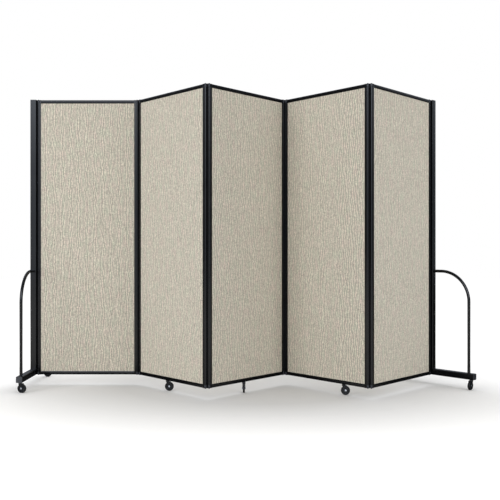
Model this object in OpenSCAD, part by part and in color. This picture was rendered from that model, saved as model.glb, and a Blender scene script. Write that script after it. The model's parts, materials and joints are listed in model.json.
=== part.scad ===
// Accordion folding partition: five fabric panels in black frames, joined by
// double-acting hinges, with an end frame at each end and seven swivel casters.
// The origin is on the floor, at the middle of the footprint. +X runs along the
// partition, +Y away from the viewer, +Z up.

/* [Panels] */
// Width of one panel over its two rounded edges
panel_w = 552.8; // [420:0.1:900]
// Height of one panel frame
panel_h = 1503; // [1100:1:2300]
// Thickness of a panel frame
panel_t = 12.7; // [12.2:0.1:18]
// Face width of a stile, its rounded edge included
stile_w = 21.2; // [20:0.1:40]
// Face height of a rail
rail_h = 19; // [17:0.1:40]
// Depth of the groove that holds the core
groove_d = 6; // [3:0.1:6.5]
// Wall of the rail's closed chamber
rail_wall = 1.6; // [1:0.1:2.5]
// Radius of the rail's outer edges
rail_edge_r = 4; // [1:0.1:5]
// Depth of the line that sets the rounded edge off from the stile's face
line_d = 0.8; // [0.2:0.1:1.5]
// Width of the slope at a frame's inner edge
slope_w = 3; // [1:0.1:5]
// Drop of that slope
slope_d = 0.9; // [0.2:0.1:1.2]

/* [Filling] */
// Thickness of the rigid core
core_t = 8; // [5:0.1:8.4]
// Thickness of the fabric on each face
fabric_t = 0.8; // [0.4:0.1:1]
// Gap between the fabric and a groove's cheek
groove_fit = 0.1; // [0.05:0.01:0.3]
// Gap between the core's edge and the bottom of the groove
edge_float = 1; // [0.2:0.1:2]
// How far a corner key reaches into a rail
key_reach = 40; // [20:1:80]
// Gap round a corner key
key_fit = 0.1; // [0.05:0.01:0.3]
// Length of a caster socket along its rail
socket_l = 26; // [16:1:50]

/* [Hinges] */
// Gap between two panels' rounded edges when they stand in line
nose_gap = 6; // [3:0.1:12]
// Gap between a hinge link and what turns past it
hinge_fit = 0.4; // [0.3:0.05:0.8]
// Height of a hinge cap
cap_h = 15; // [10:0.5:18]
// Width of the hinge cap's waist, and of the strip between the caps
waist_w = 8.4; // [5:0.1:10]
// Diameter of a hinge pin
pin_d = 5; // [3:0.1:6]
// Length of a hinge pin under its head
pin_l = 42; // [25:1:80]
// Diameter of a hinge pin's head
pin_head_d = 8.4; // [6:0.1:11]
// Height of a hinge pin's head
pin_head_h = 2.5; // [1:0.1:3]
// Radial clearance of a pin, stem or axle in its bore
run_fit = 0.05; // [0.02:0.01:0.1]

/* [Standing position] */
// Turn of the first fold, 0 being in line
first_fold = 45; // [0:1:90]
// Turn of each of the other folds
other_folds = 90; // [0:1:100]

/* [End frames] */
// Width of the square tube of post and foot
tube_w = 31.75; // [28:0.05:40]
// Wall of that tube
tube_wall = 1.6; // [1:0.1:3]
// Radius of its edges
tube_edge_r = 2.5; // [1:0.1:5]
// Gap between a panel's rounded edge and the post
post_gap = 2.65; // [2:0.05:6]
// Length of a foot's tube
foot_l = 504; // [470:1:700]
// Thickness of the flange of a foot plug
plug_flange = 3; // [1:0.1:6]
// Length of a plug inside its tube
plug_l = 42; // [40:1:80]
// Gap round a plug inside its tube
plug_fit = 0.15; // [0.05:0.01:0.4]
// Thickness of the cap on a post
post_cap_t = 2; // [1:0.1:5]

/* [Hoops] */
// Diameter of a hoop's tube
hoop_d = 15.9; // [10:0.1:25]
// Wall of that tube
hoop_wall = 1.2; // [0.8:0.1:2]
// Height of a hoop's top above the floor, on the tube's centre
hoop_top = 621; // [400:1:900]
// Distance of a hoop's leg from the end of the foot's tube
hoop_inset = 31; // [20:1:50]
// Radius of a hoop's bend, on the tube's centre
hoop_bend = 160; // [60:1:165]

/* [Casters] */
// Diameter of a wheel
wheel_d = 46; // [40:0.5:60]
// Width of a wheel's tread
wheel_w = 10.6; // [8:0.1:20]
// Radius of the tread's edges
tread_r = 2.5; // [0.5:0.1:3.5]
// Depth of the tread's ring, from its outer edge to the web
tread_depth = 7.4; // [5:0.1:9]
// Thickness of the web between hub and tread
web_t = 5; // [2:0.1:7]
// Diameter of a wheel's hub
hub_d = 13.5; // [11:0.1:20]
// Distance of the axle behind the swivel
trail = 9; // [8:0.1:16]
// Gap between a wheel's tread and a fork's arm
tread_fit = 0.7; // [0.6:0.1:5]
// Thickness of a fork's arm and crown
arm_t = 1.8; // [1.2:0.1:2.4]
// Radius of an arm's lower end
arm_r = 6.5; // [5:0.1:8]
// Diameter of the swivel race
race_d = 18; // [14:0.5:32]
// Height of the swivel race
race_h = 5; // [0.5:0.1:6]
// Gap between the race and what it turns under
race_fit = 0.3; // [0.2:0.05:0.6]
// Diameter of a caster's stem
stem_d = 8; // [5:0.1:8.4]
// Length of the stem inside its socket
stem_l = 11; // [7:0.1:11.2]
// Gap round a stem where it passes through a wall
stem_gap = 0.5; // [0.2:0.1:2]
// Diameter of an axle
axle_d = 6; // [4:0.1:8]
// Diameter of an axle's head
axle_head_d = 9.5; // [7:0.1:12]
// Height of an axle's head
axle_head_h = 1.7; // [1:0.1:3]
// Gap over a wheel, under the fork's crown
wheel_fit = 0.9; // [0.5:0.1:3]
// Gap between a wheel's hub and a fork's arm
hub_fit = 0.3; // [0.2:0.05:0.5]
// Distance of a foot's casters from the ends of its tube
caster_inset = 18; // [12:1:34]
// Place of the caster under the second panel, from its left hinge axis
caster_2_at = 242; // [60:1:350]
// Place of the caster under the middle panel, from its left hinge axis
caster_3_at = 240; // [60:1:350]
// Place of the caster under the fourth panel, from its left hinge axis
caster_4_at = 392; // [60:1:420]

/* [Hidden] */
$fn = 64;

black = [0.09, 0.09, 0.1];
satin_black = [0.15, 0.15, 0.16];
fabric_beige = [0.76, 0.73, 0.67];
board = [0.62, 0.5, 0.36];
silver = [0.72, 0.72, 0.74];

over = 1; // how far a cut runs past what it cuts
panels = 5;
nose_r = panel_t / 2;
axis_span = panel_w - panel_t;
link_l = panel_t + nose_gap;
stile_in = stile_w - nose_r; // a stile's inner edge, from its hinge axis
notch = nose_r + hinge_fit; // how far a stile is cut back beside a hinge cap
groove_w = core_t + 2 * (fabric_t + groove_fit);
core_edge = stile_in - groove_d + edge_float;
core_low = rail_h - groove_d + edge_float; // the core's lower edge, above the frame's
chamber_h = rail_h - groove_d - 2 * rail_wall;
chamber_w = panel_t - 2 * rail_wall;
line_x = stile_w / 2 - panel_t / 2 - line_d * 2; // the stile's line, from the hinge axis
pin_bore_d = pin_d + 2 * run_fit;
stem_bore_d = stem_d + 2 * run_fit;
stem_hole_d = stem_d + 2 * stem_gap; // the plain hole in the wall below a stem's bore
axle_bore_d = axle_d + 2 * run_fit;

wheel_r = wheel_d / 2;
crown_z = wheel_d + wheel_fit; // underside of a fork's crown
frame_z = crown_z + arm_t + race_h + race_fit; // underside of frames and feet
frame_top = frame_z + panel_h;
fork_w = wheel_w + 2 * (tread_fit + arm_t); // a fork's width over its arms
hub_w = wheel_w + 2 * (tread_fit - hub_fit);

post_face = nose_r + post_gap; // a post's inner face, from the end hinge's axis
post_mid = post_face + tube_w / 2;
foot_reach = foot_l / 2 + plug_flange;
foot_caster = foot_l / 2 - caster_inset; // a foot's casters, from the post's centre
hoop_out = foot_l / 2 - hoop_inset; // a hoop's leg, from the post's centre

// Headings: the first panel runs along +X, and each fold turns the next one
turns = [-first_fold, other_folds, -other_folds, other_folds];
function heading(k) = k == 1 ? 0 : heading(k - 1) + turns[k - 2];
function link_heading(k) = (heading(k) + heading(k + 1)) / 2;
function along(a) = [cos(a), sin(a)];
function left_axis(k) = k == 1 ? [0, 0] : right_axis(k - 1) + link_l * along(link_heading(k - 1));
function right_axis(k) = left_axis(k) + axis_span * along(heading(k));

// The end frames face outwards from the first and the last hinge axis
LEFT = 0;
RIGHT = 1;
end_axis = [left_axis(1), right_axis(panels)];
end_heading = [heading(1) + 180, heading(panels)];

// The footprint: both feet's corners and every hinge axis with its rounded edge
foot_corners = [
    for (e = [LEFT, RIGHT], side = [-1, 1], x = [post_face, post_face + tube_w])
        end_axis[e] + x * along(end_heading[e]) + side * foot_reach * along(end_heading[e] + 90)
];
axis_edges = [
    for (k = [1:panels], p = [left_axis(k), right_axis(k)], side = [-1, 1]) p + side * [nose_r, nose_r]
];
outer_points = concat(foot_corners, axis_edges);
outer_x = [for (p = outer_points) p[0]];
outer_y = [for (p = outer_points) p[1]];
middle = [(min(outer_x) + max(outer_x)) / 2, (min(outer_y) + max(outer_y)) / 2];

// Where a caster trails to, seen from above: 0 is +X and 90 is +Y
rest_trail = [
    ["left_front", -10], ["left_rear", 0], ["right_front", 225], ["right_rear", 200],
    ["panel_2", 0], ["panel_3", -90], ["panel_4", 0]
];
function trail_heading(name) = rest_trail[search([name], rest_trail)[0]][1];

// ---- Places ----

module at_panel(k) {
    translate([left_axis(k)[0] - middle[0], left_axis(k)[1] - middle[1], 0])
        rotate(heading(k))
            children();
}

module at_link(k) {
    translate([right_axis(k)[0] - middle[0], right_axis(k)[1] - middle[1], 0])
        rotate(link_heading(k))
            children();
}

module at_end(e) {
    translate([end_axis[e][0] - middle[0], end_axis[e][1] - middle[1], 0])
        rotate(end_heading[e])
            children();
}

// Copies at both hinge edges of a panel; children stand at its left hinge axis
module both_edges() {
    for (m = [0, 1])
        translate([axis_span / 2, 0, 0])
            mirror([m, 0, 0])
                translate([-axis_span / 2, 0, 0])
                    children();
}

// Copies at the top and the bottom; children stand with z = 0 at the frame's top
module top_and_bottom() {
    for (m = [0, 1])
        translate([0, 0, frame_z + panel_h / 2])
            mirror([0, 0, m])
                translate([0, 0, panel_h / 2])
                    children();
}

// Copies on both sides of the local XZ plane
module both_sides() {
    for (m = [0, 1])
        mirror([0, m, 0])
            children();
}

// ---- Panel frame ----

// A stile in section: rounded hinge edge with its pin bore, and a line in each face
module stile_profile() {
    difference() {
        union() {
            circle(r = nose_r);
            translate([0, -nose_r])
                square([stile_in, panel_t]);
        }
        circle(d = pin_bore_d);
        for (m = [0, 1])
            mirror([0, m])
                polygon([[line_x - line_d, nose_r + over], [line_x - line_d, nose_r], [line_x, nose_r - line_d],
                    [line_x + line_d, nose_r], [line_x + line_d, nose_r + over]]);
    }
}

// The slope that leads from a frame's face down to the fabric, at x = 0
module slope_profile() {
    for (m = [0, 1])
        mirror([0, m])
            polygon([[-slope_w, nose_r], [0, nose_r - slope_d], [over, nose_r - slope_d],
                [over, nose_r + over], [-slope_w, nose_r + over]]);
}

// One stile, standing on z = 0 with its hinge axis at the origin
module stile() {
    difference() {
        linear_extrude(panel_h)
            stile_profile();
        translate([stile_in - groove_d, -groove_w / 2, rail_wall])
            cube([groove_d + over, groove_w, panel_h - 2 * rail_wall]);
        translate([stile_in, 0, rail_h])
            linear_extrude(panel_h - 2 * rail_h)
                slope_profile();
        for (z = [-over, panel_h - cap_h - hinge_fit])
            translate([-panel_t, -panel_t, z])
                cube([panel_t + notch, 2 * panel_t, cap_h + hinge_fit + over]);
    }
}

module stiles(k) {
    color(black)
        at_panel(k)
            both_edges()
                translate([0, 0, frame_z])
                    stile();
}

// A rail in section: x is across the panel, y is up, the outer edge is at y = 0
module rail_profile() {
    difference() {
        union() {
            translate([-nose_r, -rail_h])
                square([panel_t, rail_h - rail_edge_r]);
            translate([rail_edge_r - nose_r, -rail_h])
                square([panel_t - 2 * rail_edge_r, rail_h]);
            for (s = [-1, 1])
                translate([s * (nose_r - rail_edge_r), -rail_edge_r])
                    circle(r = rail_edge_r);
        }
        translate([-groove_w / 2, -rail_h - over])
            square([groove_w, groove_d + over]);
        translate([-chamber_w / 2, -rail_wall - chamber_h])
            square([chamber_w, chamber_h]);
        translate([0, -rail_h])
            rotate(-90)
                slope_profile();
    }
}

// The caster's place under a panel, or undef where the panel has none
function caster_at(k) = [undef, caster_2_at, caster_3_at, caster_4_at, undef][k - 1];

module rails(k) {
    color(black)
        at_panel(k)
            difference() {
                top_and_bottom()
                    translate([stile_in, 0, 0])
                        rotate([90, 0, 90])
                            linear_extrude(axis_span - 2 * stile_in)
                                rail_profile();
                if (caster_at(k))
                    translate([caster_at(k), 0, frame_z - over])
                        cylinder(d = stem_hole_d, h = over + rail_wall + key_fit);
            }
}

// Corner keys in the rails' chambers, and the socket of a caster's stem
module inserts(k) {
    key_w = chamber_w - 2 * key_fit;
    key_h = chamber_h - 2 * key_fit;
    color(silver)
        at_panel(k) {
            top_and_bottom()
                both_edges()
                    translate([stile_in - groove_d + key_fit, -key_w / 2, -rail_wall - key_fit - key_h])
                        cube([groove_d - key_fit + key_reach, key_w, key_h]);
            if (caster_at(k))
                difference() {
                    translate([caster_at(k) - socket_l / 2, -key_w / 2, frame_z + rail_wall + key_fit])
                        cube([socket_l, key_w, key_h]);
                    translate([caster_at(k), 0, frame_z])
                        cylinder(d = stem_bore_d, h = rail_wall + chamber_h + over);
                }
        }
}

// ---- Panel filling ----

module slab(thickness) {
    translate([core_edge, 0, frame_z + core_low])
        cube([axis_span - 2 * core_edge, thickness, panel_h - 2 * core_low]);
}

module core(k) {
    color(board)
        at_panel(k)
            translate([0, -core_t / 2, 0])
                slab(core_t);
}

module fabric(k) {
    color(fabric_beige)
        at_panel(k)
            both_sides()
                translate([0, core_t / 2, 0])
                    slab(fabric_t);
}

// ---- Hinges ----

// A hinge pin with its head at z = 0, pointing down
module hinge_pin() {
    translate([0, 0, -pin_l])
        cylinder(d = pin_d, h = pin_l + over / 2);
    cylinder(d = pin_head_d, h = pin_head_h / 2);
    translate([0, 0, pin_head_h / 2])
        cylinder(d1 = pin_head_d, d2 = pin_head_d - pin_head_h, h = pin_head_h / 2);
}

// The link between two panels: a dog-bone cap at each end of a full-height strip
module link(k) {
    color(satin_black)
        at_link(k) {
            translate([notch, -waist_w / 2, frame_z + cap_h / 2])
                cube([link_l - 2 * notch, waist_w, panel_h - cap_h]);
            top_and_bottom()
                translate([0, 0, -cap_h])
                    linear_extrude(cap_h)
                        difference() {
                            union() {
                                circle(r = nose_r);
                                translate([link_l, 0])
                                    circle(r = nose_r);
                                translate([0, -waist_w / 2])
                                    square([link_l, waist_w]);
                            }
                            circle(d = pin_bore_d);
                            translate([link_l, 0])
                                circle(d = pin_bore_d);
                        }
        }
}

module link_pins(k) {
    color(black)
        at_link(k)
            top_and_bottom()
                for (x = [0, link_l])
                    translate([x, 0, 0])
                        hinge_pin();
}

// The leaf on a post: a cap over the panel's end at top and bottom, and a strip
module hinge_leaf(e) {
    color(satin_black)
        at_end(e) {
            translate([notch, -waist_w / 2, frame_z + cap_h / 2])
                cube([post_face - notch, waist_w, panel_h - cap_h]);
            top_and_bottom()
                translate([0, 0, -cap_h])
                    linear_extrude(cap_h)
                        difference() {
                            union() {
                                circle(r = nose_r);
                                translate([0, -waist_w / 2])
                                    square([post_face, waist_w]);
                            }
                            circle(d = pin_bore_d);
                        }
        }
}

module end_pins(e) {
    color(black)
        at_end(e)
            top_and_bottom()
                hinge_pin();
}

// ---- End frames ----

module rounded_square(size, r) {
    for (a = [0, 90])
        rotate(a)
            square([size, size - 2 * r], center = true);
    for (x = [-1, 1], y = [-1, 1])
        translate([x * (size / 2 - r), y * (size / 2 - r)])
            circle(r = r);
}

module tube_profile() {
    difference() {
        rounded_square(tube_w, tube_edge_r);
        square(tube_w - 2 * tube_wall, center = true);
    }
}

module post(e) {
    color(black)
        at_end(e)
            translate([post_mid, 0, frame_z + tube_w])
                linear_extrude(panel_h - tube_w - post_cap_t)
                    tube_profile();
}

module foot(e) {
    color(black)
        at_end(e)
            difference() {
                translate([post_mid, foot_l / 2, frame_z + tube_w / 2])
                    rotate([90, 0, 0])
                        linear_extrude(foot_l)
                            tube_profile();
                both_sides()
                    translate([post_mid, foot_caster, frame_z - over])
                        cylinder(d = stem_hole_d, h = over + tube_wall + plug_fit);
            }
}

// The cap on the post, and a plug in each end of the foot that holds a caster's stem
module plugs(e) {
    inner_w = tube_w - 2 * (tube_wall + plug_fit);
    color(satin_black)
        at_end(e) {
            translate([post_mid, 0, frame_top - post_cap_t])
                linear_extrude(post_cap_t)
                    rounded_square(tube_w, tube_edge_r);
            translate([post_mid - inner_w / 2, -inner_w / 2, frame_top - post_cap_t - plug_l])
                cube([inner_w, inner_w, plug_l + post_cap_t / 2]);
            both_sides()
                difference() {
                    union() {
                        translate([post_mid, foot_reach, frame_z + tube_w / 2])
                            rotate([90, 0, 0])
                                linear_extrude(plug_flange)
                                    rounded_square(tube_w, tube_edge_r);
                        translate([post_mid - inner_w / 2, foot_l / 2 - plug_l, frame_z + (tube_w - inner_w) / 2])
                            cube([inner_w, plug_l + plug_flange / 2, inner_w]);
                    }
                    translate([post_mid, foot_caster, frame_z])
                        cylinder(d = stem_bore_d, h = stem_l + over);
                }
        }
}

// A hoop as a solid of one diameter, its ends running on by extra
module hoop_path(d, extra) {
    bend_y = hoop_out - hoop_bend;
    translate([0, bend_y, hoop_top])
        rotate([90, 0, 0])
            cylinder(d = d, h = bend_y - tube_w / 2 + extra);
    translate([0, bend_y, hoop_top - hoop_bend])
        rotate([90, 0, 90])
            rotate_extrude(angle = 90)
                translate([hoop_bend, 0])
                    circle(d = d);
    translate([0, hoop_out, frame_z + tube_w - extra])
        cylinder(d = d, h = hoop_top - hoop_bend - frame_z - tube_w + extra);
}

module hoops(e) {
    color(black)
        at_end(e)
            translate([post_mid, 0, 0])
                both_sides()
                    difference() {
                        hoop_path(hoop_d, 0);
                        hoop_path(hoop_d - 2 * hoop_wall, over);
                    }
}

// ---- Casters ----

// One arm of a fork, seen from the side
module arm_profile() {
    translate([trail, wheel_r])
        circle(r = arm_r);
    polygon([[trail - arm_r, wheel_r], [trail + arm_r, wheel_r], [trail + arm_r, crown_z + arm_t],
        [-arm_r, crown_z + arm_t], [-arm_r, crown_z - arm_t]]);
}

// A fork with its stem, and the axle through its arms; the swivel axis is at the origin
module fork() {
    difference() {
        union() {
            translate([0, 0, crown_z])
                cylinder(d = race_d, h = arm_t + race_h);
            translate([-arm_r, -fork_w / 2, crown_z])
                cube([trail + 2 * arm_r, fork_w, arm_t]);
            both_sides()
                translate([0, fork_w / 2, 0])
                    rotate([90, 0, 0])
                        linear_extrude(arm_t)
                            arm_profile();
            translate([0, 0, crown_z])
                cylinder(d = stem_d, h = frame_z - crown_z + stem_l);
        }
        translate([trail, 0, wheel_r])
            rotate([90, 0, 0])
                cylinder(d = axle_bore_d, h = fork_w + 2 * over, center = true);
    }
    translate([trail, 0, wheel_r])
        rotate([90, 0, 0]) {
            cylinder(d = axle_d, h = fork_w + axle_head_h, center = true);
            for (m = [0, 1])
                mirror([0, 0, m])
                    translate([0, 0, fork_w / 2 + run_fit])
                        cylinder(d = axle_head_d, h = axle_head_h);
        }
}

// A wheel round the axle: hub, thin web and a tread with rounded edges
module wheel() {
    tread_in = wheel_r - tread_depth;
    translate([trail, 0, wheel_r])
        rotate([90, 0, 0])
            rotate_extrude()
                difference() {
                    union() {
                        translate([0, -hub_w / 2])
                            square([hub_d / 2, hub_w]);
                        translate([0, -web_t / 2])
                            square([wheel_r - tread_r, web_t]);
                        translate([tread_in, -wheel_w / 2])
                            square([wheel_r - tread_r - tread_in, wheel_w]);
                        translate([tread_in, tread_r - wheel_w / 2])
                            square([tread_depth, wheel_w - 2 * tread_r]);
                        for (s = [-1, 1])
                            translate([wheel_r - tread_r, s * (wheel_w / 2 - tread_r)])
                                circle(r = tread_r);
                    }
                    translate([-over, -hub_w])
                        square([over + axle_bore_d / 2, 2 * hub_w]);
                }
}

// Children at a panel's caster; name gives the way that it trails
module panel_caster(k, name) {
    at_panel(k)
        translate([caster_at(k), 0, 0])
            rotate(trail_heading(name) - heading(k))
                children();
}

// Children at a foot's caster, on the side where the local y has this sign
module foot_caster_place(e, side, name) {
    at_end(e)
        translate([post_mid, side * foot_caster, 0])
            rotate(trail_heading(name) - end_heading[e])
                children();
}

module fork_at_panel(k, name) {
    color(black) panel_caster(k, name) fork();
}

module wheel_at_panel(k, name) {
    color(satin_black) panel_caster(k, name) wheel();
}

module fork_at_foot(e, side, name) {
    color(black) foot_caster_place(e, side, name) fork();
}

module wheel_at_foot(e, side, name) {
    color(satin_black) foot_caster_place(e, side, name) wheel();
}

stiles(1);  // panel_1_stiles
rails(1);  // panel_1_rails
inserts(1);  // panel_1_inserts
core(1);  // panel_1_core
fabric(1);  // panel_1_fabric
stiles(2);  // panel_2_stiles
rails(2);  // panel_2_rails
inserts(2);  // panel_2_inserts
core(2);  // panel_2_core
fabric(2);  // panel_2_fabric
stiles(3);  // panel_3_stiles
rails(3);  // panel_3_rails
inserts(3);  // panel_3_inserts
core(3);  // panel_3_core
fabric(3);  // panel_3_fabric
stiles(4);  // panel_4_stiles
rails(4);  // panel_4_rails
inserts(4);  // panel_4_inserts
core(4);  // panel_4_core
fabric(4);  // panel_4_fabric
stiles(5);  // panel_5_stiles
rails(5);  // panel_5_rails
inserts(5);  // panel_5_inserts
core(5);  // panel_5_core
fabric(5);  // panel_5_fabric
link(1);  // hinge_1_link
link_pins(1);  // hinge_1_pins
link(2);  // hinge_2_link
link_pins(2);  // hinge_2_pins
link(3);  // hinge_3_link
link_pins(3);  // hinge_3_pins
link(4);  // hinge_4_link
link_pins(4);  // hinge_4_pins
post(LEFT);  // left_post
foot(LEFT);  // left_foot
hoops(LEFT);  // left_hoops
plugs(LEFT);  // left_plugs
hinge_leaf(LEFT);  // left_hinge_leaf
end_pins(LEFT);  // left_hinge_pins
post(RIGHT);  // right_post
foot(RIGHT);  // right_foot
hoops(RIGHT);  // right_hoops
plugs(RIGHT);  // right_plugs
hinge_leaf(RIGHT);  // right_hinge_leaf
end_pins(RIGHT);  // right_hinge_pins
fork_at_foot(LEFT, 1, "left_front");  // left_front_fork
wheel_at_foot(LEFT, 1, "left_front");  // left_front_wheel
fork_at_foot(LEFT, -1, "left_rear");  // left_rear_fork
wheel_at_foot(LEFT, -1, "left_rear");  // left_rear_wheel
fork_at_foot(RIGHT, -1, "right_front");  // right_front_fork
wheel_at_foot(RIGHT, -1, "right_front");  // right_front_wheel
fork_at_foot(RIGHT, 1, "right_rear");  // right_rear_fork
wheel_at_foot(RIGHT, 1, "right_rear");  // right_rear_wheel
fork_at_panel(2, "panel_2");  // panel_2_fork
wheel_at_panel(2, "panel_2");  // panel_2_wheel
fork_at_panel(3, "panel_3");  // panel_3_fork
wheel_at_panel(3, "panel_3");  // panel_3_wheel
fork_at_panel(4, "panel_4");  // panel_4_fork
wheel_at_panel(4, "panel_4");  // panel_4_wheel
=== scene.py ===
import json
import math

import bmesh
import bpy
from mathutils import Matrix, Vector

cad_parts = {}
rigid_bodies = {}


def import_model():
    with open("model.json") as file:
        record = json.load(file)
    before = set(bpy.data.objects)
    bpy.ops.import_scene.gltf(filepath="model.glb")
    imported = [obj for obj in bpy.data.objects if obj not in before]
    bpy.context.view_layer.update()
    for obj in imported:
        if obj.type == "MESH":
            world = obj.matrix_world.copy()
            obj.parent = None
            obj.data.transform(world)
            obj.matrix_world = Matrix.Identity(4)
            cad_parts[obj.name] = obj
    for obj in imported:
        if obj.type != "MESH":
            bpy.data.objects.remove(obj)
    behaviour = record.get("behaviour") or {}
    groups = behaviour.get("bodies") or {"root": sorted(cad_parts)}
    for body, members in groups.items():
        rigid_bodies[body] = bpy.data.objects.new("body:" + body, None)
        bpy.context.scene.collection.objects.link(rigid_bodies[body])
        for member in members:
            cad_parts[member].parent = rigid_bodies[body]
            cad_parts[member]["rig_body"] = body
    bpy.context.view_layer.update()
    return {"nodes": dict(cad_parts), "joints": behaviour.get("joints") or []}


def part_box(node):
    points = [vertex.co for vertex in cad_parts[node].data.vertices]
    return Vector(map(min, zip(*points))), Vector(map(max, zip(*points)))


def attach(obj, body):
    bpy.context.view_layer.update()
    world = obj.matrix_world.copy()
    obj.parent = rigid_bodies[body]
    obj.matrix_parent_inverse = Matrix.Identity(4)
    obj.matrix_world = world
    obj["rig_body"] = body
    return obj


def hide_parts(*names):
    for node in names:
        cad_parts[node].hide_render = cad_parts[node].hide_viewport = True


for spare in list(bpy.data.objects):
    bpy.data.objects.remove(spare)
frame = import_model()


# Panel frames: the two stiles and two rails of each panel are black anodised aluminium extrusions.
# They are sawn, deburred and pushed together over corner keys. Saws and dies leave no knife edges,
# so every sharp edge is rounded a little and the hinge edges are smooth.

PANELS = (1, 2, 3, 4, 5)
SAWN_EDGE = 0.0004
SHARP_EDGE = math.radians(30)
FACET = math.radians(20)
WELD = 1e-6
FLAT = math.radians(0.5)


def linear(colour):
    """The linear values of an sRGB hex colour."""
    shares = [int(colour[i:i + 2], 16) / 255 for i in (1, 3, 5)]
    return [s / 12.92 if s <= 0.04045 else ((s + 0.055) / 1.055) ** 2.4 for s in shares] + [1]


def add(tree, kind, sockets, **settings):
    """One shader node. A socket is given its value, or the output that it is linked from."""
    made = tree.nodes.new(kind)
    for name, value in settings.items():
        setattr(made, name, value)
    for name, value in sockets.items():
        if isinstance(value, bpy.types.NodeSocket):
            tree.links.new(value, made.inputs[name])
        else:
            made.inputs[name].default_value = value
    return made


def empty_material(name):
    """A material with no nodes yet, and its node tree."""
    made = bpy.data.materials.new(name)
    made.use_nodes = True
    made.node_tree.nodes.clear()
    return made, made.node_tree


def piece_from(bm, name, body, nodes, materials):
    """The finished piece of a bmesh: it rides on its body and stands for its CAD nodes."""
    mesh = bpy.data.meshes.new(name)
    bm.to_mesh(mesh)
    bm.free()
    for material in materials:
        mesh.materials.append(material)
    mesh.shade_smooth()
    mesh.set_sharp_from_angle(angle=FACET)
    piece = bpy.data.objects.new(name, mesh)
    bpy.context.scene.collection.objects.link(piece)
    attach(piece, body)
    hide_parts(*nodes)
    return piece


def merged(node):
    """A copy of a CAD node's mesh as one skin of flat faces."""
    bm = bmesh.new()
    bm.from_mesh(frame["nodes"][node].data)
    bmesh.ops.remove_doubles(bm, verts=bm.verts, dist=WELD)
    bmesh.ops.dissolve_limit(bm, angle_limit=FLAT, verts=bm.verts, edges=bm.edges)
    return bm


def round_edges(bm, radius):
    """Rounds every sharp edge of a bmesh."""
    sharp = [e for e in bm.edges if len(e.link_faces) == 2 and e.calc_face_angle() > SHARP_EDGE]
    bmesh.ops.bevel(
        bm, geom=sharp, offset=radius, offset_type="OFFSET", segments=2, profile=0.5,
        affect="EDGES", clamp_overlap=True, material=-1,
    )


def rounded_node(node, radius, material):
    """A CAD node's own shape with its sharp edges rounded."""
    bm = merged(node)
    round_edges(bm, radius)
    body = frame["nodes"][node]["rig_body"]
    return piece_from(bm, f"{node}_rounded", body, [node], [material])


# Brightened and anodised: an even deep black that mirrors the room softly, with a 0.5 mm grain
# and faint patches where the bath took differently.
anodised, tree = empty_material("bright-dipped black anodised aluminium")
place = add(tree, "ShaderNodeTexCoord", {})
etch = add(tree, "ShaderNodeTexNoise", {"Vector": place.outputs["Object"], "Scale": 1 / 0.0005, "Detail": 2})
patch = add(tree, "ShaderNodeTexNoise", {"Vector": place.outputs["Object"], "Scale": 1 / 0.09, "Detail": 3})
shine = add(
    tree, "ShaderNodeMapRange",
    {"Value": patch.outputs["Fac"], "From Min": 0.3, "From Max": 0.7, "To Min": 0.13, "To Max": 0.2},
)
tint = add(
    tree, "ShaderNodeMix",
    {0: patch.outputs["Fac"], 6: linear("#08090A"), 7: linear("#0C0D0F")}, data_type="RGBA",
)
grain = add(tree, "ShaderNodeBump", {"Height": etch.outputs["Fac"], "Strength": 0.05, "Distance": 0.0001})
surface = add(
    tree, "ShaderNodeBsdfPrincipled",
    {
        "Base Color": tint.outputs[2], "Roughness": shine.outputs["Result"],
        "Normal": grain.outputs["Normal"], "IOR": 1.5, "Specular IOR Level": 0.2,
    },
)
add(tree, "ShaderNodeOutputMaterial", {"Surface": surface.outputs["BSDF"]})

for k in PANELS:
    for part in ("stiles", "rails"):
        rounded_node(f"panel_{k}_{part}", SAWN_EDGE, anodised)


# Corner keys and caster sockets: short lengths of bare aluminium bar inside the rails' chambers.
# They are seen only when the partition is taken apart, so the CAD nodes stay as they are.

mill_finish, tree = empty_material("mill-finish aluminium bar")
place = add(tree, "ShaderNodeTexCoord", {})
draw = add(tree, "ShaderNodeTexNoise", {"Vector": place.outputs["Object"], "Scale": 1 / 0.0008, "Detail": 3})
shine = add(
    tree, "ShaderNodeMapRange",
    {"Value": draw.outputs["Fac"], "From Min": 0.3, "From Max": 0.7, "To Min": 0.28, "To Max": 0.42},
)
grain = add(tree, "ShaderNodeBump", {"Height": draw.outputs["Fac"], "Strength": 0.15, "Distance": 0.0001})
surface = add(
    tree, "ShaderNodeBsdfPrincipled",
    {
        "Base Color": linear("#C3C4C6"), "Metallic": 1, "Roughness": shine.outputs["Result"],
        "Normal": grain.outputs["Normal"],
    },
)
add(tree, "ShaderNodeOutputMaterial", {"Surface": surface.outputs["BSDF"]})

for k in PANELS:
    inserts = frame["nodes"][f"panel_{k}_inserts"]
    inserts.data.materials.clear()
    inserts.data.materials.append(mill_finish)


# Core boards: one 8 mm board of pressed wood fibre fills each frame and keeps the fabric flat.
# Its edges stand in the frame's groove, so the fabric hides it and the CAD nodes stay.

fibreboard, tree = empty_material("pressed fibreboard")
place = add(tree, "ShaderNodeTexCoord", {})
fibre = add(tree, "ShaderNodeTexNoise", {"Vector": place.outputs["Object"], "Scale": 1 / 0.003, "Detail": 5})
tint = add(
    tree, "ShaderNodeMix",
    {0: fibre.outputs["Fac"], 6: linear("#7E6245"), 7: linear("#AD8C65")}, data_type="RGBA",
)
grain = add(tree, "ShaderNodeBump", {"Height": fibre.outputs["Fac"], "Strength": 0.4, "Distance": 0.0004})
surface = add(
    tree, "ShaderNodeBsdfPrincipled",
    {"Base Color": tint.outputs[2], "Roughness": 0.92, "Normal": grain.outputs["Normal"], "IOR": 1.5},
)
add(tree, "ShaderNodeOutputMaterial", {"Surface": surface.outputs["BSDF"]})

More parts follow.
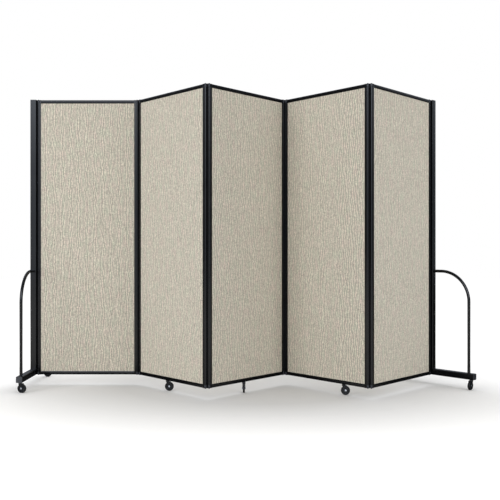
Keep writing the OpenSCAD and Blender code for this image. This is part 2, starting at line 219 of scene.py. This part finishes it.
for k in PANELS:
    core = frame["nodes"][f"panel_{k}_core"]
    core.data.materials.clear()
    core.data.materials.append(fibreboard)


# Panel fabric: a sheet of woven cloth is stretched over each face of the core board, and its edges
# go into the groove of the frame. It is a matt, stone-coloured cloth of upright cords, whose thick
# and thin places make short upright streaks.

# A sheet's outer face stands FABRIC_FACE from the middle of the panel, and its edges FABRIC_EDGE
# from the hinge axes. It swells by FABRIC_SWELL, between 10 and 30 mm inside its edges.
FABRIC_THICK = 0.0008
FABRIC_FACE = 0.0048
FABRIC_EDGE = 0.00985
FABRIC_SWELL = 0.0003
SWELL_RAMP = 0.02
CELL = 0.0125

# Sizes of the weave. A wave texture that has WAVE_UNIT as its scale has one band to each unit.
CORD_WIDE = 0.0044
SLUB_LONG = 0.005
CORD_SHIFT = 7.31
BAND_WIDE = 0.0125
BAND_LONG = 0.05
BAND_SHADE = 0.24
FADE_WIDE = 0.03
FADE_LONG = 0.055
LOT_WIDE = 0.016
LOT_LONG = 0.06
WEFT_APART = 0.002
WAVE_UNIT = math.pi / 10

# Each sheet is cut from a place of its own on the bolt, so no two show the same slubs.
BOLT_ACROSS = 0.7
BOLT_ALONG = 1.6

axis_at = {joint["name"]: Vector(joint["pos_m"]) for joint in frame["joints"]}
PANEL_AXES = {
    1: ("left_end_turn", "panel_1_turn"),
    2: ("hinge_1_turn", "panel_2_turn"),
    3: ("hinge_2_turn", "hinge_3_turn"),
    4: ("panel_4_turn", "hinge_4_turn"),
    5: ("panel_5_turn", "right_end_turn"),
}


def ground_frame(origin, along):
    """The matrix of a frame on the floor at origin, with its X along a level direction."""
    along = Vector((along.x, along.y, 0)).normalized()
    turned = Matrix((along, Vector((-along.y, along.x, 0)), Vector((0, 0, 1)))).transposed()
    return Matrix.Translation((origin.x, origin.y, 0)) @ turned.to_4x4()


def panel_place(k):
    """The matrix of panel k: X from its left hinge axis to its right one, -Y out of its front."""
    left, right = (axis_at[name] for name in PANEL_AXES[k])
    return ground_frame(left, right - left)


woven, tree = empty_material("slub-woven panel cloth")
place = add(tree, "ShaderNodeUVMap", {}, uv_map="cloth")
# The cloth is a row of upright cords 4.4 mm wide. Each has slubs of its own, 5 mm long and up.
cord_place = add(
    tree, "ShaderNodeMapping",
    {"Vector": place.outputs["UV"], "Scale": (1 / CORD_WIDE, 1 / SLUB_LONG, 1)},
)
cord = add(
    tree, "ShaderNodeTexWave",
    {"Vector": cord_place.outputs["Vector"], "Scale": WAVE_UNIT}, bands_direction="X",
)
along_cord = add(tree, "ShaderNodeSeparateXYZ", {"Vector": cord_place.outputs["Vector"]})
cord_number = add(tree, "ShaderNodeMath", {0: along_cord.outputs["X"]}, operation="FLOOR")
cord_start = add(
    tree, "ShaderNodeMath", {0: cord_number.outputs["Value"], 1: CORD_SHIFT}, operation="MULTIPLY",
)
own_yarn = add(
    tree, "ShaderNodeCombineXYZ",
    {"X": cord_start.outputs["Value"], "Y": along_cord.outputs["Y"], "Z": 0.5},
)
slub = add(tree, "ShaderNodeTexNoise", {"Vector": own_yarn.outputs["Vector"], "Scale": 1, "Detail": 2})
# Lighter and darker cords make bands 12.5 mm apart, which fade and change places within 55 mm.
band_place = add(
    tree, "ShaderNodeMapping",
    {"Vector": place.outputs["UV"], "Scale": (1 / BAND_WIDE, 1 / BAND_LONG, 1)},
)
band = add(
    tree, "ShaderNodeTexWave",
    {
        "Vector": band_place.outputs["Vector"], "Scale": WAVE_UNIT,
        "Distortion": 0.7, "Detail": 1, "Detail Scale": 1 / WAVE_UNIT,
    },
    bands_direction="X",
)
fade_place = add(
    tree, "ShaderNodeMapping",
    {"Vector": place.outputs["UV"], "Scale": (1 / FADE_WIDE, 1 / FADE_LONG, 1)},
)
fade = add(tree, "ShaderNodeTexNoise", {"Vector": fade_place.outputs["Vector"], "Scale": 1, "Detail": 1})
# Dye takes a little warmer or greener from one lot of yarn to the next.
lot_place = add(
    tree, "ShaderNodeMapping",
    {"Vector": place.outputs["UV"], "Scale": (1 / LOT_WIDE, 1 / LOT_LONG, 1)},
)
lot = add(tree, "ShaderNodeTexNoise", {"Vector": lot_place.outputs["Vector"], "Scale": 1, "Detail": 2})
lot_mix = add(tree, "ShaderNodeMapRange", {"Value": lot.outputs["Fac"], "From Min": 0.3, "From Max": 0.7})
# The threads that cross the cords would be 1 mm apart. They are drawn 2 mm apart, so that a
# close view shows them.
weft_place = add(
    tree, "ShaderNodeMapping", {"Vector": place.outputs["UV"], "Scale": (1, 1 / WEFT_APART, 1)},
)
weft = add(
    tree, "ShaderNodeTexWave",
    {"Vector": weft_place.outputs["Vector"], "Scale": WAVE_UNIT}, bands_direction="Y",
)
cross = add(
    tree, "ShaderNodeMath", {0: cord.outputs["Fac"], 1: weft.outputs["Fac"]}, operation="MULTIPLY",
)
warm_or_green = add(
    tree, "ShaderNodeMix",
    {0: lot_mix.outputs["Result"], 6: linear("#C8BCB0"), 7: linear("#C1C0AF")}, data_type="RGBA",
)
band_side = add(tree, "ShaderNodeMapRange", {"Value": band.outputs["Fac"], "To Min": -1, "To Max": 1})
fade_side = add(
    tree, "ShaderNodeMapRange",
    {"Value": fade.outputs["Fac"], "From Min": 0.45, "From Max": 0.55, "To Min": -1, "To Max": 1},
)
faded = add(
    tree, "ShaderNodeMath",
    {0: band_side.outputs["Result"], 1: fade_side.outputs["Result"]}, operation="MULTIPLY",
)
shade = add(
    tree, "ShaderNodeMath", {0: faded.outputs["Value"], 1: BAND_SHADE, 2: 1}, operation="MULTIPLY_ADD",
)
slub_shade = add(
    tree, "ShaderNodeMapRange",
    {"Value": slub.outputs["Fac"], "From Min": 0.3, "From Max": 0.7, "To Min": 0.73, "To Max": 1.27},
)
# Painted highlight and shade: each crossing is drawn lighter, as if it stands up and catches the light, and
# the gaps round it darker, as if they lie in shade.
crossing_painted_light = add(
    tree, "ShaderNodeMapRange", {"Value": cross.outputs["Value"], "To Min": 0.86, "To Max": 1.42},
)
yarn_shade = add(
    tree, "ShaderNodeMath",
    {0: slub_shade.outputs["Result"], 1: crossing_painted_light.outputs["Result"]}, operation="MULTIPLY",
)
both_shades = add(
    tree, "ShaderNodeMath",
    {0: shade.outputs["Value"], 1: yarn_shade.outputs["Value"]}, operation="MULTIPLY",
)
colour = add(
    tree, "ShaderNodeMix",
    {0: 1, 6: warm_or_green.outputs[2], 7: both_shades.outputs["Value"]},
    data_type="RGBA", blend_type="MULTIPLY",
)
yarn_height = add(
    tree, "ShaderNodeMath", {0: slub.outputs["Fac"], 1: cross.outputs["Value"]}, operation="ADD",
)
grain = add(
    tree, "ShaderNodeBump",
    {"Height": yarn_height.outputs["Value"], "Strength": 0.5, "Distance": 0.0003},
)
surface = add(
    tree, "ShaderNodeBsdfPrincipled",
    {
        "Base Color": colour.outputs[2], "Roughness": 0.95, "Normal": grain.outputs["Normal"],
        "IOR": 1.45, "Specular IOR Level": 0.2, "Sheen Weight": 0.15, "Sheen Roughness": 0.5,
    },
)
add(tree, "ShaderNodeOutputMaterial", {"Surface": surface.outputs["BSDF"]})

for k in PANELS:
    left, right = (axis_at[name] for name in PANEL_AXES[k])
    low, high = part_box(f"panel_{k}_fabric")
    width = (right - left).length - 2 * FABRIC_EDGE
    height = high.z - low.z
    for face, outward in (("front", -1), ("back", 1)):
        bm = bmesh.new()
        bmesh.ops.create_grid(bm, x_segments=round(width / CELL), y_segments=round(height / CELL), size=0.5)
        bmesh.ops.scale(bm, verts=bm.verts, vec=(width, height, 1))
        cloth_map = bm.loops.layers.uv.new("cloth")
        for polygon in bm.faces:
            for corner in polygon.loops:
                x, y, z = corner.vert.co
                corner[cloth_map].uv = (x + BOLT_ACROSS * k, y + BOLT_ALONG * (outward + 1))
        for vert in bm.verts:
            inside = min(width / 2 - abs(vert.co.x), height / 2 - abs(vert.co.y))
            vert.co.z += FABRIC_SWELL * min(1, max(0, inside / SWELL_RAMP - 0.5))
        bmesh.ops.solidify(bm, geom=bm.faces[:], thickness=FABRIC_THICK)
        bmesh.ops.transform(
            bm, verts=bm.verts, space=Matrix.Identity(4),
            matrix=Matrix.Translation((0, 0, -max(v.co.z for v in bm.verts))),
        )
        turn = Matrix.Rotation(math.pi / 2, 4, "X")
        if outward > 0:
            turn = Matrix.Rotation(math.pi, 4, "Z") @ turn
        middle = Matrix.Translation(
            (FABRIC_EDGE + width / 2, outward * (FABRIC_FACE + FABRIC_SWELL), (low.z + high.z) / 2)
        )
        bmesh.ops.transform(bm, verts=bm.verts, matrix=panel_place(k) @ middle @ turn)
        bmesh.ops.recalc_face_normals(bm, faces=bm.faces)
        name = f"panel_{k}_fabric_{face}"
        cloth = piece_from(bm, name, f"panel_{k}", [f"panel_{k}_fabric"], [woven])


# Hinge links: a dog-bone cap at the top and the bottom of a full-height strip joins two panels.
# The caps are moulded in black nylon with a fine spark-eroded grain, and the strip is dull vinyl
# with a soft wiper in it, whose lips close the gap to the panels' rounded edges. The vinyl's
# near-black colour is partly painted shade for that gap.

MOULDED_EDGE = 0.0006
CAP_HIGH = 0.015
LONG_FACE = 1
WIPER_WIDE = 0.006
WIPER_REACH = 0.0064
HINGES = (1, 2, 3, 4)

nylon, tree = empty_material("moulded black nylon")
place = add(tree, "ShaderNodeTexCoord", {})
spark = add(tree, "ShaderNodeTexNoise", {"Vector": place.outputs["Object"], "Scale": 1 / 0.0007, "Detail": 2})
flow = add(tree, "ShaderNodeTexNoise", {"Vector": place.outputs["Object"], "Scale": 1 / 0.05, "Detail": 2})
shine = add(
    tree, "ShaderNodeMapRange",
    {"Value": flow.outputs["Fac"], "From Min": 0.3, "From Max": 0.7, "To Min": 0.42, "To Max": 0.52},
)
tint = add(
    tree, "ShaderNodeMix",
    {0: flow.outputs["Fac"], 6: linear("#292B2F"), 7: linear("#313338")}, data_type="RGBA",
)
grain = add(tree, "ShaderNodeBump", {"Height": spark.outputs["Fac"], "Strength": 0.25, "Distance": 0.0001})
surface = add(
    tree, "ShaderNodeBsdfPrincipled",
    {
        "Base Color": tint.outputs[2], "Roughness": shine.outputs["Result"],
        "Normal": grain.outputs["Normal"], "IOR": 1.53, "Specular IOR Level": 0.2,
    },
)
add(tree, "ShaderNodeOutputMaterial", {"Surface": surface.outputs["BSDF"]})

# The strip between the caps is dull black vinyl, which lies in the shade of the rounded edges; its
# near-black colour is partly that shade, painted in.
shade_darkened_vinyl, tree = empty_material("dull black vinyl")
place = add(tree, "ShaderNodeTexCoord", {})
haul = add(tree, "ShaderNodeTexNoise", {"Vector": place.outputs["Object"], "Scale": 1 / 0.002, "Detail": 2})
shine = add(
    tree, "ShaderNodeMapRange",
    {"Value": haul.outputs["Fac"], "From Min": 0.3, "From Max": 0.7, "To Min": 0.5, "To Max": 0.62},
)
surface = add(
    tree, "ShaderNodeBsdfPrincipled",
    {
        "Base Color": linear("#060607"), "Roughness": shine.outputs["Result"], "IOR": 1.53,
        "Specular IOR Level": 0.03,
    },
)
add(tree, "ShaderNodeOutputMaterial", {"Surface": surface.outputs["BSDF"]})


def capped_strip(node):
    """A hinge's CAD node with its edges rounded: nylon caps, and vinyl darkened with painted shade on the
    long faces between.
    """
    bm = merged(node)
    round_edges(bm, MOULDED_EDGE)
    for polygon in bm.faces:
        heights = [v.co.z for v in polygon.verts]
        polygon.material_index = 1 if max(heights) - min(heights) > LONG_FACE else 0
    body = frame["nodes"][node]["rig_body"]
    return piece_from(bm, f"{node}_rounded", body, [node], [nylon, shade_darkened_vinyl])


def wiper(node, origin, along, first, last):
    """The soft vinyl bar in a strip, darkened with painted shade: its two lips close the gaps beside the
    rounded edges.
    """
    low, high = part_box(node)
    bm = bmesh.new()
    bmesh.ops.create_cube(bm, size=1)
    size = (last - first, WIPER_WIDE, high.z - low.z - 2 * CAP_HIGH)
    bmesh.ops.scale(bm, verts=bm.verts, vec=size)
    shift = Matrix.Translation(((first + last) / 2, 0, (low.z + high.z) / 2))
    bmesh.ops.transform(bm, verts=bm.verts, matrix=ground_frame(origin, along) @ shift)
    body = frame["nodes"][node]["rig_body"]
    return piece_from(bm, f"{node}_wiper", body, [node], [shade_darkened_vinyl])


HINGE_AXES = {
    1: ("panel_1_turn", "hinge_1_turn"),
    2: ("panel_2_turn", "hinge_2_turn"),
    3: ("hinge_3_turn", "panel_4_turn"),
    4: ("hinge_4_turn", "panel_5_turn"),
}
for k in HINGES:
    capped_strip(f"hinge_{k}_link")
    first, last = (axis_at[name] for name in HINGE_AXES[k])
    span = (last - first).length
    wiper(f"hinge_{k}_link", first, last - first, WIPER_REACH, span - WIPER_REACH)


# Hinge pins: steel pins with a round head go through the caps into the bores of the stiles.
# They are blackened in hot oxide, which leaves dark, slightly oily-looking metal.

blackened, tree = empty_material("black-oxide steel")
place = add(tree, "ShaderNodeTexCoord", {})
oxide = add(tree, "ShaderNodeTexNoise", {"Vector": place.outputs["Object"], "Scale": 1 / 0.002, "Detail": 3})
shine = add(
    tree, "ShaderNodeMapRange",
    {"Value": oxide.outputs["Fac"], "From Min": 0.3, "From Max": 0.7, "To Min": 0.3, "To Max": 0.45},
)
surface = add(
    tree, "ShaderNodeBsdfPrincipled",
    {"Base Color": linear("#2B2B2D"), "Metallic": 1, "Roughness": shine.outputs["Result"]},
)
add(tree, "ShaderNodeOutputMaterial", {"Surface": surface.outputs["BSDF"]})

for k in HINGES:
    rounded_node(f"hinge_{k}_pins", SAWN_EDGE, blackened)


# End posts and feet: square steel tube, welded to each other and powder-coated in semi-gloss black.
# The coat flows a little as it bakes, so its skin has the faint ripple called orange peel.

ENDS = ("left", "right")

powder_coat, tree = empty_material("semi-gloss black powder coat")
place = add(tree, "ShaderNodeTexCoord", {})
peel = add(tree, "ShaderNodeTexNoise", {"Vector": place.outputs["Object"], "Scale": 1 / 0.0022, "Detail": 1})
batch = add(tree, "ShaderNodeTexNoise", {"Vector": place.outputs["Object"], "Scale": 1 / 0.12, "Detail": 2})
shine = add(
    tree, "ShaderNodeMapRange",
    {"Value": batch.outputs["Fac"], "From Min": 0.3, "From Max": 0.7, "To Min": 0.12, "To Max": 0.19},
)
tint = add(
    tree, "ShaderNodeMix",
    {0: batch.outputs["Fac"], 6: linear("#090A0B"), 7: linear("#0D0E10")}, data_type="RGBA",
)
grain = add(tree, "ShaderNodeBump", {"Height": peel.outputs["Fac"], "Strength": 0.06, "Distance": 0.0002})
surface = add(
    tree, "ShaderNodeBsdfPrincipled",
    {
        "Base Color": tint.outputs[2], "Roughness": shine.outputs["Result"],
        "Normal": grain.outputs["Normal"], "IOR": 1.5, "Specular IOR Level": 0.2,
    },
)
add(tree, "ShaderNodeOutputMaterial", {"Surface": surface.outputs["BSDF"]})

for end in ENDS:
    rounded_node(f"{end}_post", SAWN_EDGE, powder_coat)
    rounded_node(f"{end}_foot", SAWN_EDGE, powder_coat)


# Hoops: two bent round steel tubes brace each post to its foot, one to the front, one to the back.
# Each leaves the post level, turns down in one wide bend, and is welded to the top of the foot.

POST_WIDE = 0.03175
POST_MIDDLE = 0.024875
HOOP_RADIUS = 0.0159 / 2
HOOP_BEND = 0.160
low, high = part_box("left_hoops")
HOOP_TOP = high.z - HOOP_RADIUS
HOOP_OUT = (high.y - low.y) / 2 - HOOP_RADIUS
FOOT_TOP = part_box("left_foot")[1].z
END_AXES = {"left": ("left_end_turn", "panel_1_turn"), "right": ("right_end_turn", "panel_5_turn")}


def end_place(end):
    """The matrix of an end frame: its post at the origin, X away from the panel, Y along the foot."""
    axis, other = (axis_at[name] for name in END_AXES[end])
    away = (axis - other).normalized()
    return ground_frame(axis + away * POST_MIDDLE, away)


def hoop_tube(side):
    """A tube that starts at the post, runs level, bends down and ends on the foot."""
    bm = bmesh.new()
    start = Matrix.Translation((0, side * POST_WIDE / 2, HOOP_TOP)) @ Matrix.Rotation(math.pi / 2, 4, "X")
    bmesh.ops.create_circle(bm, cap_ends=True, segments=36, radius=HOOP_RADIUS, matrix=start)
    bend_at = Vector((0, side * (HOOP_OUT - HOOP_BEND), HOOP_TOP - HOOP_BEND))
    level = bmesh.ops.extrude_face_region(bm, geom=bm.faces[:])["geom"]
    moved = [v for v in level if isinstance(v, bmesh.types.BMVert)]
    bmesh.ops.translate(bm, verts=moved, vec=(0, bend_at.y - side * POST_WIDE / 2, 0))
    ring = [f for f in level if isinstance(f, bmesh.types.BMFace)]
    bent = bmesh.ops.spin(
        bm, geom=ring, cent=bend_at, axis=(-side, 0, 0), angle=math.pi / 2, steps=40, use_duplicate=False,
    )["geom_last"]
    ring = [f for f in bent if isinstance(f, bmesh.types.BMFace)]
    down = bmesh.ops.extrude_face_region(bm, geom=ring)["geom"]
    moved = [v for v in down if isinstance(v, bmesh.types.BMVert)]
    bmesh.ops.translate(bm, verts=moved, vec=(0, 0, FOOT_TOP - bend_at.z))
    return bm


for end in ENDS:
    for side, name in ((-1, "a"), (1, "b")):
        bm = hoop_tube(side)
        bmesh.ops.transform(bm, verts=bm.verts, matrix=end_place(end))
        bmesh.ops.recalc_face_normals(bm, faces=bm.faces)
        piece_from(
            bm, f"{end}_hoop_{name}", f"{end}_end_frame", [f"{end}_hoops"],
            [powder_coat],
        )


# Caps and plugs: a cap closes the top of each post and a plug each end of its foot.
# They are moulded in black polypropylene and pushed into the tube up to their flange.

polypropylene, tree = empty_material("moulded black polypropylene")
place = add(tree, "ShaderNodeTexCoord", {})
spark = add(tree, "ShaderNodeTexNoise", {"Vector": place.outputs["Object"], "Scale": 1 / 0.0009, "Detail": 2})
shine = add(
    tree, "ShaderNodeMapRange",
    {"Value": spark.outputs["Fac"], "From Min": 0.3, "From Max": 0.7, "To Min": 0.45, "To Max": 0.6},
)
grain = add(tree, "ShaderNodeBump", {"Height": spark.outputs["Fac"], "Strength": 0.3, "Distance": 0.0001})
surface = add(
    tree, "ShaderNodeBsdfPrincipled",
    {
        "Base Color": linear("#191A1D"), "Roughness": shine.outputs["Result"],
        "Normal": grain.outputs["Normal"], "IOR": 1.49,
    },
)
add(tree, "ShaderNodeOutputMaterial", {"Surface": surface.outputs["BSDF"]})

for end in ENDS:
    rounded_node(f"{end}_plugs", MOULDED_EDGE, polypropylene)


# End hinges: a leaf of the same nylon as the links is fixed along the post, and its caps hold the
# panel's end stile on two blackened pins.

for end in ENDS:
    capped_strip(f"{end}_hinge_leaf")
    axis, other = (axis_at[name] for name in END_AXES[end])
    wiper(f"{end}_hinge_leaf", axis, axis - other, WIPER_REACH, POST_MIDDLE - POST_WIDE / 2)
    rounded_node(f"{end}_hinge_pins", SAWN_EDGE, blackened)


# Caster forks: each is pressed from 1.8 mm steel, with its stem riveted in, and dipped in black
# paint. The bright zinc-plated axle is a separate piece, riveted through the two arms.

CASTERS = ("left_front", "left_rear", "right_front", "right_rear", "panel_2", "panel_3", "panel_4")
PRESSED_EDGE = 0.0005

dipped, tree = empty_material("black dipped steel pressing")
place = add(tree, "ShaderNodeTexCoord", {})
sag = add(tree, "ShaderNodeTexNoise", {"Vector": place.outputs["Object"], "Scale": 1 / 0.006, "Detail": 2})
shine = add(
    tree, "ShaderNodeMapRange",
    {"Value": sag.outputs["Fac"], "From Min": 0.3, "From Max": 0.7, "To Min": 0.24, "To Max": 0.36},
)
grain = add(tree, "ShaderNodeBump", {"Height": sag.outputs["Fac"], "Strength": 0.2, "Distance": 0.0003})
surface = add(
    tree, "ShaderNodeBsdfPrincipled",
    {
        "Base Color": linear("#141517"), "Roughness": shine.outputs["Result"],
        "Normal": grain.outputs["Normal"], "IOR": 1.5, "Specular IOR Level": 0.2,
    },
)
add(tree, "ShaderNodeOutputMaterial", {"Surface": surface.outputs["BSDF"]})

zinc, tree = empty_material("bright zinc-plated steel")
place = add(tree, "ShaderNodeTexCoord", {})
spangle = add(
    tree, "ShaderNodeTexNoise", {"Vector": place.outputs["Object"], "Scale": 1 / 0.0015, "Detail": 2},
)
shine = add(
    tree, "ShaderNodeMapRange",
    {"Value": spangle.outputs["Fac"], "From Min": 0.3, "From Max": 0.7, "To Min": 0.18, "To Max": 0.3},
)
surface = add(
    tree, "ShaderNodeBsdfPrincipled",
    {"Base Color": linear("#BFC2C6"), "Metallic": 1, "Roughness": shine.outputs["Result"]},
)
add(tree, "ShaderNodeOutputMaterial", {"Surface": surface.outputs["BSDF"]})


def loose_parts(bm):
    """The separate solids of a bmesh, each as a set of vertices."""
    left = set(bm.verts)
    parts = []
    while left:
        part = set()
        edge_of = [left.pop()]
        while edge_of:
            vert = edge_of.pop()
            part.add(vert)
            edge_of += [o for e in vert.link_edges for o in e.verts if o in left]
            left -= set(edge_of)
        parts.append(part)
    return parts


def tallest_part(bm, tallest):
    """Keeps the tallest solid of a bmesh, or all the others."""
    parts = sorted(loose_parts(bm), key=lambda p: max(v.co.z for v in p) - min(v.co.z for v in p))
    unwanted = parts[:-1] if tallest else parts[-1:]
    bmesh.ops.delete(bm, geom=[v for part in unwanted for v in part], context="VERTS")


for name in CASTERS:
    for piece_name, is_fork, material in (("pressing", True, dipped), ("axle", False, zinc)):
        bm = merged(f"{name}_fork")
        tallest_part(bm, is_fork)
        round_edges(bm, PRESSED_EDGE)
        piece_from(
            bm, f"{name}_fork_{piece_name}", f"{name}_caster_fork",
            [f"{name}_fork"], [material],
        )


# Caster wheels: a tyre of black polyurethane is cast round a moulded nylon wheel, whose thin web
# joins the rim to the hub. The tread is worn dull and the nylon has a low sheen.

# Faces of a wheel that reach further than this from its centre are the tyre's.
WHEEL_RADIUS = 0.023
TREAD_DEEP = 0.0074
TYRE_FROM = WHEEL_RADIUS - TREAD_DEEP + 0.0003

tread, tree = empty_material("cast polyurethane tyre")
place = add(tree, "ShaderNodeTexCoord", {})
scuff = add(tree, "ShaderNodeTexNoise", {"Vector": place.outputs["Object"], "Scale": 1 / 0.0018, "Detail": 4})
shine = add(
    tree, "ShaderNodeMapRange",
    {"Value": scuff.outputs["Fac"], "From Min": 0.3, "From Max": 0.7, "To Min": 0.5, "To Max": 0.7},
)
tint = add(
    tree, "ShaderNodeMix",
    {0: scuff.outputs["Fac"], 6: linear("#0B0B0C"), 7: linear("#161617")}, data_type="RGBA",
)
surface = add(
    tree, "ShaderNodeBsdfPrincipled",
    {
        "Base Color": tint.outputs[2], "Roughness": shine.outputs["Result"], "IOR": 1.5,
        "Specular IOR Level": 0.2,
    },
)
add(tree, "ShaderNodeOutputMaterial", {"Surface": surface.outputs["BSDF"]})

rim_nylon, tree = empty_material("moulded black nylon wheel")
place = add(tree, "ShaderNodeTexCoord", {})
spark = add(tree, "ShaderNodeTexNoise", {"Vector": place.outputs["Object"], "Scale": 1 / 0.0007, "Detail": 2})
grain = add(tree, "ShaderNodeBump", {"Height": spark.outputs["Fac"], "Strength": 0.2, "Distance": 0.0001})
surface = add(
    tree, "ShaderNodeBsdfPrincipled",
    {
        "Base Color": linear("#161719"), "Roughness": 0.42, "Normal": grain.outputs["Normal"], "IOR": 1.53,
        "Specular IOR Level": 0.2,
    },
)
add(tree, "ShaderNodeOutputMaterial", {"Surface": surface.outputs["BSDF"]})

for name in CASTERS:
    bm = merged(f"{name}_wheel")
    low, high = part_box(f"{name}_wheel")
    centre = (low + high) / 2
    for polygon in bm.faces:
        reach = max((v.co - centre).length for v in polygon.verts)
        polygon.material_index = 0 if reach > TYRE_FROM else 1
    round_edges(bm, SAWN_EDGE)
    piece_from(
        bm, f"{name}_wheel_tyred", f"{name}_caster_wheel",
        [f"{name}_wheel"], [tread, rim_nylon],
    )


# The studio: a white floor that runs back out of sight and a white room lit from all round.
# The floor keeps the soft shadows under the panels and feet, and seen from the camera it also carries a
# painted shadow, greyer close to the partition.

FLOOR_REACH = 14
SHADOW_OVAL_WIDE = 1.9
SHADOW_OVAL_DEEP = 1.25

white_floor, tree = empty_material("white studio floor")
path = add(tree, "ShaderNodeLightPath", {})
place = add(tree, "ShaderNodeTexCoord", {})
# Painted shadow: seen from the camera, the floor is drawn a little grey close to the partition and pure white
# further out.
oval = add(
    tree, "ShaderNodeMapping",
    {"Vector": place.outputs["Object"], "Scale": (1 / SHADOW_OVAL_WIDE, 1 / SHADOW_OVAL_DEEP, 0)},
)
distance = add(tree, "ShaderNodeVectorMath", {0: oval.outputs["Vector"]}, operation="LENGTH")
painted_shadow_gain = add(
    tree, "ShaderNodeMapRange",
    {"Value": distance.outputs["Value"], "From Min": 0.35, "From Max": 1.1, "To Min": 0.8, "To Max": 1.45},
)
painted_shadow_floor = add(tree, "ShaderNodeBsdfDiffuse", {"Color": painted_shadow_gain.outputs["Result"]})
lit = add(tree, "ShaderNodeBsdfDiffuse", {"Color": linear("#E6E6E6")})
# Painted reflection: in the frames the floor is mirrored brighter than its own white in front of the
# partition, and dark under and behind it as painted shade.
spot = add(tree, "ShaderNodeSeparateXYZ", {"Vector": place.outputs["Object"]})
painted_reflection_level = add(
    tree, "ShaderNodeMapRange",
    {"Value": spot.outputs["Y"], "From Min": -0.15, "From Max": -0.6, "To Min": 0.05, "To Max": 1.9},
)
painted_reflection_floor = add(tree, "ShaderNodeBsdfDiffuse", {"Color": painted_reflection_level.outputs["Result"]})
bounced = add(
    tree, "ShaderNodeMixShader",
    {0: path.outputs["Is Glossy Ray"], 1: lit.outputs[0], 2: painted_reflection_floor.outputs[0]},
)
either = add(
    tree, "ShaderNodeMixShader",
    {0: path.outputs["Is Camera Ray"], 1: bounced.outputs[0], 2: painted_shadow_floor.outputs[0]},
)
add(tree, "ShaderNodeOutputMaterial", {"Surface": either.outputs[0]})

bm = bmesh.new()
bmesh.ops.create_grid(bm, x_segments=1, y_segments=1, size=FLOOR_REACH)
mesh = bpy.data.meshes.new("floor")
bm.to_mesh(mesh)
bm.free()
mesh.materials.append(white_floor)
floor = bpy.data.objects.new("floor", mesh)
bpy.context.scene.collection.objects.link(floor)

room = bpy.data.worlds.new("white room")
room.use_nodes = True
room.cycles.sampling_method = "NONE"
room.node_tree.nodes.clear()
tree = room.node_tree
path = add(tree, "ShaderNodeLightPath", {})
look = add(tree, "ShaderNodeTexCoord", {})
parts = add(tree, "ShaderNodeSeparateXYZ", {"Vector": look.outputs["Generated"]})
# Mirrored in the frames, the front wall is bright and lighter still towards the ceiling. The side
# walls and the back are dark drapes with a gap of light, so frames turned away stay black.
front = add(
    tree, "ShaderNodeMapRange",
    {"Value": parts.outputs["Y"], "From Min": -0.6, "From Max": -0.93, "To Min": 0.12, "To Max": 2.0},
)
past_gap = add(tree, "ShaderNodeMath", {0: parts.outputs["Y"], 1: 0.32}, operation="SUBTRACT")
off_gap = add(tree, "ShaderNodeMath", {0: past_gap.outputs["Value"]}, operation="ABSOLUTE")
gap = add(
    tree, "ShaderNodeMapRange",
    {"Value": off_gap.outputs["Value"], "From Min": 0.05, "From Max": 0.2, "To Min": 0.3, "To Max": 0},
)
walls = add(tree, "ShaderNodeMath", {0: front.outputs["Result"], 1: gap.outputs["Result"]}, operation="ADD")
ceiling = add(
    tree, "ShaderNodeMapRange",
    {"Value": parts.outputs["Z"], "From Min": 0.07, "From Max": 0.34, "To Min": 1, "To Max": 4.8},
    interpolation_type="SMOOTHSTEP",
)
mirror_room = add(
    tree, "ShaderNodeMath", {0: walls.outputs["Value"], 1: ceiling.outputs["Result"]}, operation="MULTIPLY",
)
lamp_level = add(
    tree, "ShaderNodeMix", {0: path.outputs["Is Glossy Ray"], 2: 0.74, 3: mirror_room.outputs["Value"]},
)
level = add(tree, "ShaderNodeMix", {0: path.outputs["Is Camera Ray"], 2: lamp_level.outputs[0], 3: 1})
cool = add(
    tree, "ShaderNodeMix",
    {0: path.outputs["Is Glossy Ray"], 6: (1, 1, 1, 1), 7: (0.93, 1, 1.12, 1)}, data_type="RGBA",
)
back = add(tree, "ShaderNodeBackground", {"Color": cool.outputs[2], "Strength": level.outputs[0]})
add(tree, "ShaderNodeOutputWorld", {"Surface": back.outputs[0]})
bpy.context.scene.world = room

# Softboxes: two beside the camera, and a big one above and a little behind the partition, which
# draws its shade towards the camera. The frames don't mirror them.
SOFTBOXES = (
    ("left softbox", (-4.6, -3.8, 1.3), (0.0, 0.0, 0.8), 2.1, 2.4, 86),
    ("right softbox", (4.5, -3.7, 1.2), (0.0, 0.0, 0.8), 1.5, 2.2, 49),
    ("overhead softbox", (-0.4, 0.9, 3.2), (0.0, 0.0, 0.0), 2.0, 2.0, 25),
)
for name, stand, aim, wide, high, watts in SOFTBOXES:
    lamp = bpy.data.lights.new(name, "AREA")
    lamp.shape = "RECTANGLE"
    lamp.size = wide
    lamp.size_y = high
    lamp.energy = watts
    holder = bpy.data.objects.new(name, lamp)
    holder.location = stand
    holder.rotation_euler = (Vector(aim) - Vector(stand)).to_track_quat("-Z", "Y").to_euler()
    holder.visible_camera = False
    holder.visible_glossy = False
    bpy.context.scene.collection.objects.link(holder)

# The camera stands level at the height of the horizon line, 3.8 m in front of the partition.
camera = bpy.data.cameras.new("camera")
camera.lens = 51.1
camera.sensor_width = 36
eye = bpy.data.objects.new("camera", camera)
eye.location = (0.0047, -3.822, 0.736)
eye.rotation_euler = (math.pi / 2, 0, 0)
bpy.context.scene.collection.objects.link(eye)
bpy.context.scene.camera = eye
bpy.context.scene.view_settings.view_transform = "Standard"
